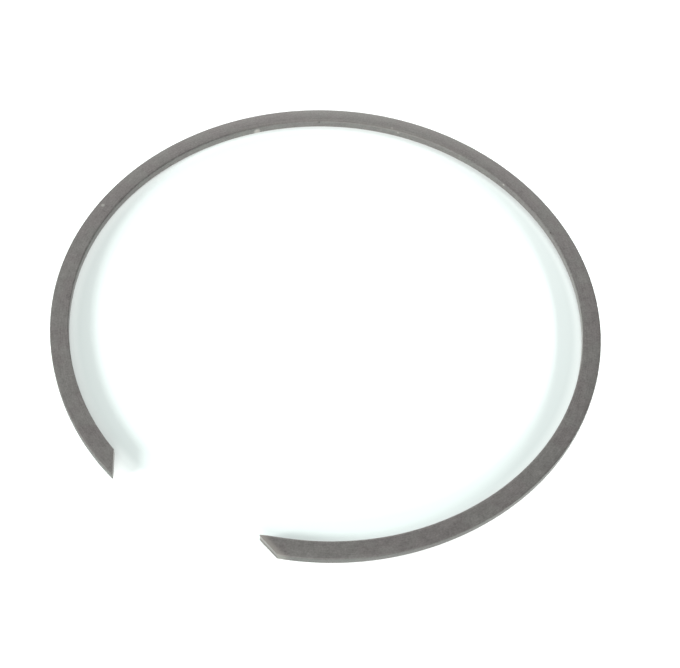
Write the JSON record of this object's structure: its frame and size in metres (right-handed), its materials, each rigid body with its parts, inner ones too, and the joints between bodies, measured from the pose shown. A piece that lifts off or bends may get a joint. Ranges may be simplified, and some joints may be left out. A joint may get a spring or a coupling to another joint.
{
  "type": "circlip retaining ring",
  "caption": "Open round retaining ring of flat spring-steel wire with rounded edges, a wide gap and slanting cut ends.",
  "frame": {"origin": "on the ring's axis, in the plane of its base face", "axes": "+Z along the ring's axis, through its thickness; -Y from the axis through the middle of the gap; +X completes a right-handed set"},
  "size_m": [0.12, 0.1176, 0.002],
  "materials": {
    "spring_steel": "dark phosphated and oiled, matt"
  },
  "bodies": {
    "root": {"retaining_ring": "spring_steel"}
  },
  "joints": []
}
